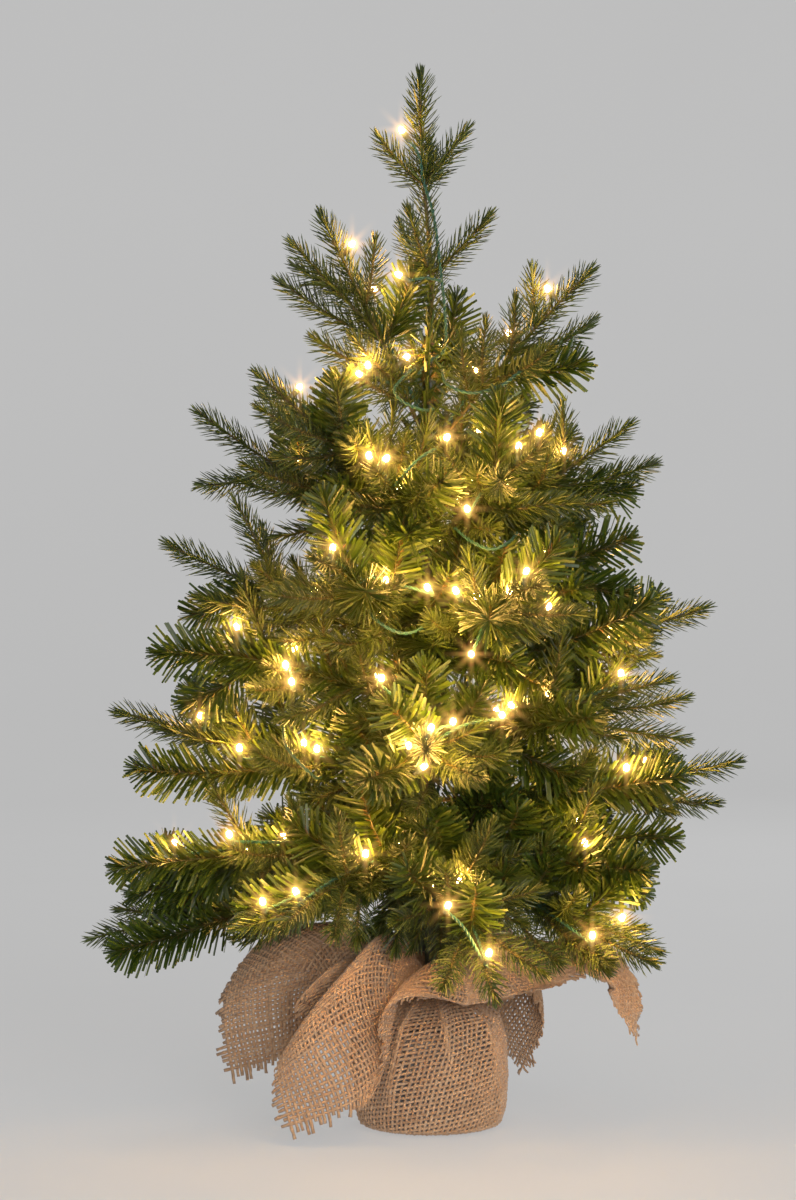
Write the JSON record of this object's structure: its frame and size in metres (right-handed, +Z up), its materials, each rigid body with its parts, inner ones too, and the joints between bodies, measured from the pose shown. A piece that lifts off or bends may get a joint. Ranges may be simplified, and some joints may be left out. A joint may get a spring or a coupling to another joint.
{
  "type": "artificial tabletop tree",
  "caption": "Tabletop artificial fir with wire branches that bend, a warm light string, and a cement foot wrapped in gathered burlap.",
  "frame": {"origin": "centre of the flat underside of the burlap-wrapped foot, under the pole", "axes": "+Z up along the pole, -Y towards the front, +X to the right seen from the front"},
  "size_m": [0.5689, 0.4782, 0.9],
  "materials": {
    "foliage": "satin moulded and cut-film needles on twisted wire",
    "garland": "dark cut-film needles",
    "light_wire": "green insulated twisted pair",
    "lamp": "clear lamp cap, lit warm white",
    "pole": "green paint",
    "cement": "cast, rough",
    "socket_plastic": "matt",
    "burlap": "open plain weave, frayed edges",
    "twine": "twisted jute",
    "box_plastic": "fine moulded grain",
    "button": "satin",
    "cell": "printed sleeve left plain"
  },
  "bodies": {
    "root": {"base_weight": "cement", "pole_socket": "socket_plastic", "trunk_pole": "pole", "trunk_garland": "garland", "leader": "foliage", "burlap_wrap": "burlap", "neck_tie": "twine", "battery_box": "box_plastic", "battery_cell_1": "cell", "battery_cell_2": "cell", "battery_cell_3": "cell", "pole_lights": "light_wire"},
    "battery_cover": {"battery_cover": "box_plastic"},
    "switch_button": {"switch_button": "button"},
    "upper_left": {"upper_left_branch": "foliage", "upper_left_lights": "light_wire"},
    "upper_right": {"upper_right_branch": "foliage", "upper_right_lights": "light_wire"},
    "upper_back": {"upper_back_branch": "foliage"},
    "second_left": {"second_left_branch": "foliage", "second_left_lights": "light_wire"},
    "second_far_left": {"second_far_left_branch": "foliage"},
    "second_right": {"second_right_branch": "foliage", "second_right_lights": "light_wire"},
    "second_right_front": {"second_right_front_branch": "foliage", "second_right_front_lights": "light_wire"},
    "second_front": {"second_front_branch": "foliage", "second_front_lights": "light_wire"},
    "second_back": {"second_back_branch": "foliage"},
    "third_left": {"third_left_branch": "foliage", "third_left_lights": "light_wire"},
    "third_right_upper": {"third_right_upper_branch": "foliage"},
    "third_right": {"third_right_branch": "foliage", "third_right_lights": "light_wire"},
    "third_front_left": {"third_front_left_branch": "foliage", "third_front_left_lights": "light_wire"},
    "third_front_right": {"third_front_right_branch": "foliage", "third_front_right_lights": "light_wire"},
    "third_back": {"third_back_branch": "foliage"},
    "fourth_left_upper": {"fourth_left_upper_branch": "foliage"},
    "fourth_left": {"fourth_left_branch": "foliage", "fourth_left_lights": "light_wire"},
    "fourth_right_upper": {"fourth_right_upper_branch": "foliage"},
    "fourth_right": {"fourth_right_branch": "foliage", "fourth_right_lights": "light_wire"},
    "fourth_front": {"fourth_front_branch": "foliage", "fourth_front_lights": "light_wire"},
    "fourth_back": {"fourth_back_branch": "foliage"},
    "lower_left_upper": {"lower_left_upper_branch": "foliage", "lower_left_upper_lights": "light_wire"},
    "lower_left": {"lower_left_branch": "foliage"},
    "lower_right_upper": {"lower_right_upper_branch": "foliage"},
    "lower_right": {"lower_right_branch": "foliage"},
    "lower_front": {"lower_front_branch": "foliage", "lower_front_lights": "light_wire"},
    "lower_front_left": {"lower_front_left_branch": "foliage"},
    "lower_back_left": {"lower_back_left_branch": "foliage"},
    "lower_back_right": {"lower_back_right_branch": "foliage"}
  },
  "joints": [
    {"name": "battery_cover_pull", "type": "slide", "parent": "root", "child": "battery_cover", "axis": [0, 1, 0], "range_m": [0, 0.03]},
    {"name": "switch_button_press", "type": "slide", "parent": "root", "child": "switch_button", "axis": [-1, 0, 0], "range_m": [0, 0.0015], "stiffness_N_per_m": 400, "springref_m": -0.0008},
    {"name": "upper_left_bend", "type": "hinge", "parent": "root", "child": "upper_left", "pos_m": [-0.00682, -0.00158, 0.588], "axis": [-0.2256, 0.9742, 0], "range_deg": [-15, 4]},
    {"name": "upper_right_bend", "type": "hinge", "parent": "root", "child": "upper_right", "pos_m": [0.00684, -0.00147, 0.578], "axis": [-0.2095, -0.9778, 0], "range_deg": [-12, 15]},
    {"name": "second_left_bend", "type": "hinge", "parent": "root", "child": "second_left", "pos_m": [-0.00647, -0.00267, 0.515], "axis": [-0.382, 0.9242, 0], "range_deg": [-12, 15]},
    {"name": "second_far_left_bend", "type": "hinge", "parent": "root", "child": "second_far_left", "pos_m": [-0.00688, 0.00127, 0.497], "axis": [0.1814, 0.9834, 0], "range_deg": [-12, 25]},
    {"name": "second_right_bend", "type": "hinge", "parent": "root", "child": "second_right", "pos_m": [0.0069, -0.00119, 0.5], "axis": [-0.1699, -0.9855, 0], "range_deg": [-12, 25]},
    {"name": "second_right_front_bend", "type": "hinge", "parent": "root", "child": "second_right_front", "pos_m": [0.00426, -0.00556, 0.488], "axis": [-0.7936, -0.6084, 0], "range_deg": [-12, 25]},
    {"name": "second_front_bend", "type": "hinge", "parent": "root", "child": "second_front", "pos_m": [-0.00232, -0.0066, 0.478], "axis": [-0.9432, 0.3321, 0], "range_deg": [-12, 18]},
    {"name": "third_left_bend", "type": "hinge", "parent": "root", "child": "third_left", "pos_m": [-0.00699, 0.00045, 0.412], "axis": [0.0648, 0.9979, 0], "range_deg": [-12, 18]},
    {"name": "third_right_upper_bend", "type": "hinge", "parent": "root", "child": "third_right_upper", "pos_m": [0.00685, -0.00142, 0.426], "axis": [-0.2026, -0.9793, 0], "range_deg": [-12, 18]},
    {"name": "third_right_bend", "type": "hinge", "parent": "root", "child": "third_right", "pos_m": [0.00698, 0.00057, 0.388], "axis": [0.0817, -0.9967, 0], "range_deg": [-10, 18]},
    {"name": "third_front_left_bend", "type": "hinge", "parent": "root", "child": "third_front_left", "pos_m": [-0.00324, -0.00621, 0.402], "axis": [-0.8868, 0.4622, 0], "range_deg": [-12, 25]},
    {"name": "third_front_right_bend", "type": "hinge", "parent": "root", "child": "third_front_right", "pos_m": [0.00292, -0.00636, 0.396], "axis": [-0.9091, -0.4167, 0], "range_deg": [-12, 25]},
    {"name": "fourth_left_upper_bend", "type": "hinge", "parent": "root", "child": "fourth_left_upper", "pos_m": [-0.00678, -0.00174, 0.344], "axis": [-0.2484, 0.9687, 0], "range_deg": [-12, 10]},
    {"name": "fourth_left_bend", "type": "hinge", "parent": "root", "child": "fourth_left", "pos_m": [-0.00694, 0.00091, 0.29], "axis": [0.1293, 0.9916, 0], "range_deg": [-12, 25]},
    {"name": "fourth_right_upper_bend", "type": "hinge", "parent": "root", "child": "fourth_right_upper", "pos_m": [0.00672, -0.00197, 0.32], "axis": [-0.2809, -0.9597, 0], "range_deg": [-12, 12]},
    {"name": "fourth_right_bend", "type": "hinge", "parent": "root", "child": "fourth_right", "pos_m": [0.00699, 0.00039, 0.276], "axis": [0.0555, -0.9985, 0], "range_deg": [-8, 18]},
    {"name": "fourth_front_bend", "type": "hinge", "parent": "root", "child": "fourth_front", "pos_m": [-0.00018, -0.007, 0.3], "axis": [-0.9997, 0.0259, 0], "range_deg": [-12, 25]},
    {"name": "lower_left_upper_bend", "type": "hinge", "parent": "root", "child": "lower_left_upper", "pos_m": [-0.00689, -0.00123, 0.24], "axis": [-0.175, 0.9846, 0], "range_deg": [-8, 25]},
    {"name": "lower_left_bend", "type": "hinge", "parent": "root", "child": "lower_left", "pos_m": [-0.00697, 0.00061, 0.206], "axis": [0.0869, 0.9962, 0], "range_deg": [-12, 8]},
    {"name": "lower_right_upper_bend", "type": "hinge", "parent": "root", "child": "lower_right_upper", "pos_m": [0.00691, -0.00111, 0.234], "axis": [-0.1584, -0.9874, 0], "range_deg": [-12, 8]},
    {"name": "lower_right_bend", "type": "hinge", "parent": "root", "child": "lower_right", "pos_m": [0.00632, -0.00301, 0.204], "axis": [-0.4303, -0.9027, 0], "range_deg": [-12, 18]},
    {"name": "lower_front_bend", "type": "hinge", "parent": "root", "child": "lower_front", "pos_m": [0.00161, -0.00681, 0.216], "axis": [-0.9733, -0.2296, 0], "range_deg": [-12, 25]},
    {"name": "lower_front_left_bend", "type": "hinge", "parent": "root", "child": "lower_front_left", "pos_m": [-0.004, -0.00574, 0.224], "axis": [-0.8205, 0.5716, 0], "range_deg": [-12, 25]},
    {"name": "upper_back_bend", "type": "hinge", "parent": "root", "child": "upper_back", "pos_m": [0.00135, 0.00687, 0.596], "axis": [0.9812, -0.1927, 0], "range_deg": [-12, 8]},
    {"name": "second_back_bend", "type": "hinge", "parent": "root", "child": "second_back", "pos_m": [0.00342, 0.00611, 0.51], "axis": [0.8725, -0.4886, 0], "range_deg": [-12, 25]},
    {"name": "third_back_bend", "type": "hinge", "parent": "root", "child": "third_back", "pos_m": [0.00033, 0.00699, 0.41], "axis": [0.9989, -0.0467, 0], "range_deg": [-12, 25]},
    {"name": "fourth_back_bend", "type": "hinge", "parent": "root", "child": "fourth_back", "pos_m": [-0.00023, 0.007, 0.304], "axis": [0.9995, 0.0325, 0], "range_deg": [-12, 25]},
    {"name": "lower_back_left_bend", "type": "hinge", "parent": "root", "child": "lower_back_left", "pos_m": [-0.00369, 0.00595, 0.226], "axis": [0.8494, 0.5278, 0], "range_deg": [-12, 25]},
    {"name": "lower_back_right_bend", "type": "hinge", "parent": "root", "child": "lower_back_right", "pos_m": [0.00403, 0.00572, 0.23], "axis": [0.8177, -0.5757, 0], "range_deg": [-12, 25]}
  ]
}
